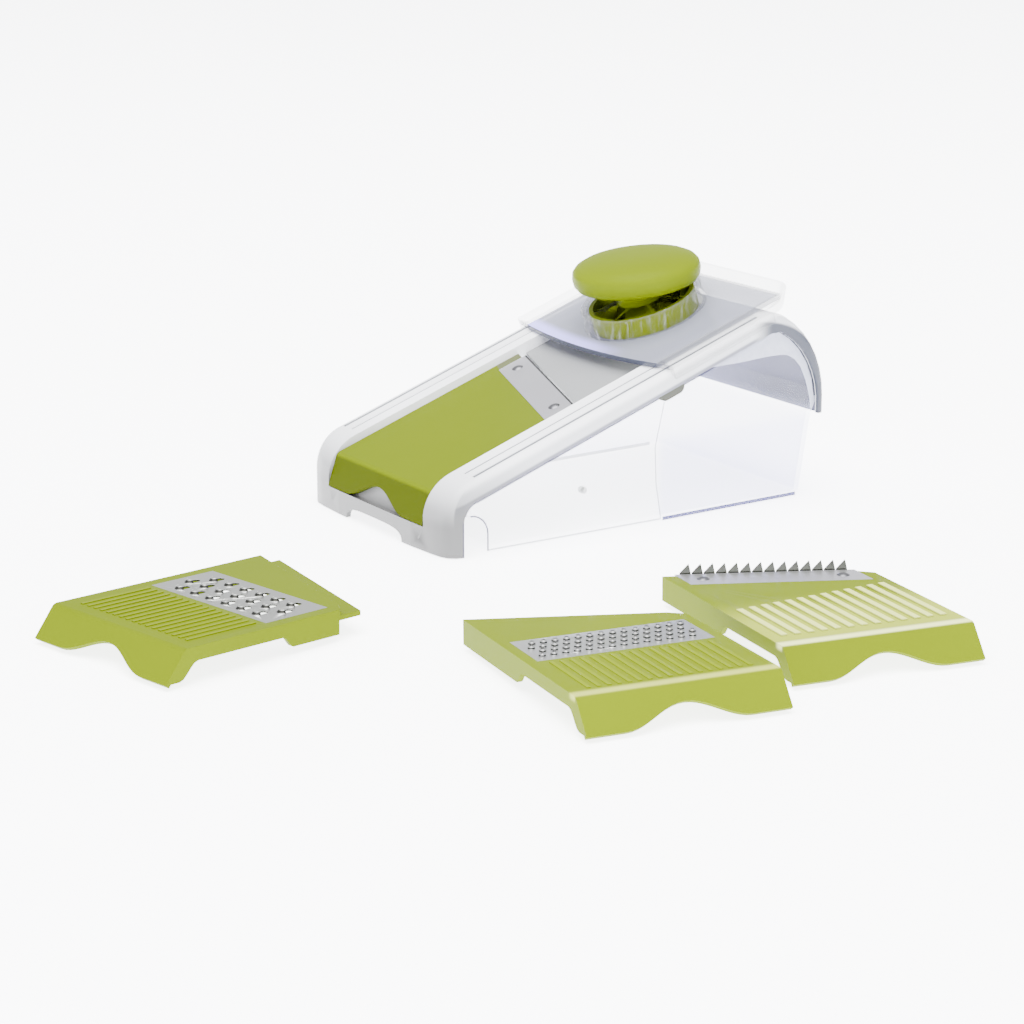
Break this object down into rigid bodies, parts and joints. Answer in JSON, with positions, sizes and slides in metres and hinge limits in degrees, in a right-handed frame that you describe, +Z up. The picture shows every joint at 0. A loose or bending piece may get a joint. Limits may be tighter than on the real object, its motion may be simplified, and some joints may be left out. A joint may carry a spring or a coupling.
{
  "type": "mandoline slicer",
  "caption": "Table-top mandoline slicer: an inclined frame over a clear catch tub, with a sliding guard, a lift-out pusher and spare inserts.",
  "frame": {"origin": "on the table, in the middle of the slicer's own footprint", "axes": "+X from the low front foot to the high hood, +Y to the left of a user looking that way, +Z up"},
  "size_m": [0.3958, 0.3541, 0.1115],
  "materials": {
    "tub_plastic": "clear polished",
    "guard_plastic": "clear polished, faint blue",
    "frame_plastic": "satin white",
    "runway_plastic": "finely textured",
    "catch_plastic": "satin",
    "lime_plastic": "satin lime",
    "blade_steel": "ground"
  },
  "bodies": {
    "container": {"container_tub": "tub_plastic"},
    "frame": {"frame_shell": "frame_plastic", "runway_plate": "runway_plastic", "side_catches": "catch_plastic"},
    "slicing_insert": {"slicing_carrier": "lime_plastic", "slicing_blade": "blade_steel", "slicing_rivets": "blade_steel"},
    "guard": {"guard_plate": "guard_plastic"},
    "pusher": {"pusher_knob": "lime_plastic", "pusher_disc": "lime_plastic", "pusher_pins": "blade_steel", "pusher_screw": "blade_steel"},
    "coarse_insert": {"coarse_carrier": "lime_plastic", "coarse_plate": "blade_steel"},
    "fine_insert": {"fine_carrier": "lime_plastic", "fine_plate": "blade_steel"},
    "julienne_insert": {"julienne_carrier": "lime_plastic", "julienne_comb": "blade_steel", "julienne_blade": "blade_steel", "julienne_rivets": "blade_steel"}
  },
  "joints": [
    {"name": "frame_lift", "type": "slide", "parent": "container", "child": "frame", "axis": [0, 0, 1], "range_m": [0, 0.08]},
    {"name": "insert_lift", "type": "slide", "parent": "frame", "child": "slicing_insert", "axis": [-0.3305, 0, 0.9438], "range_m": [0, 0.035]},
    {"name": "guard_slide", "type": "slide", "parent": "frame", "child": "guard", "axis": [0.9438, 0, 0.3305], "range_m": [-0.105, 0.004]},
    {"name": "pusher_lift", "type": "slide", "parent": "guard", "child": "pusher", "axis": [-0.3305, 0, 0.9438], "range_m": [0, 0.03]},
    {"name": "coarse_lift", "type": "slide", "parent": "container", "child": "coarse_insert", "axis": [0, 0, 1], "range_m": [0, 0.05]},
    {"name": "fine_lift", "type": "slide", "parent": "container", "child": "fine_insert", "axis": [0, 0, 1], "range_m": [0, 0.05]},
    {"name": "julienne_lift", "type": "slide", "parent": "container", "child": "julienne_insert", "axis": [0, 0, 1], "range_m": [0, 0.05]}
  ]
}
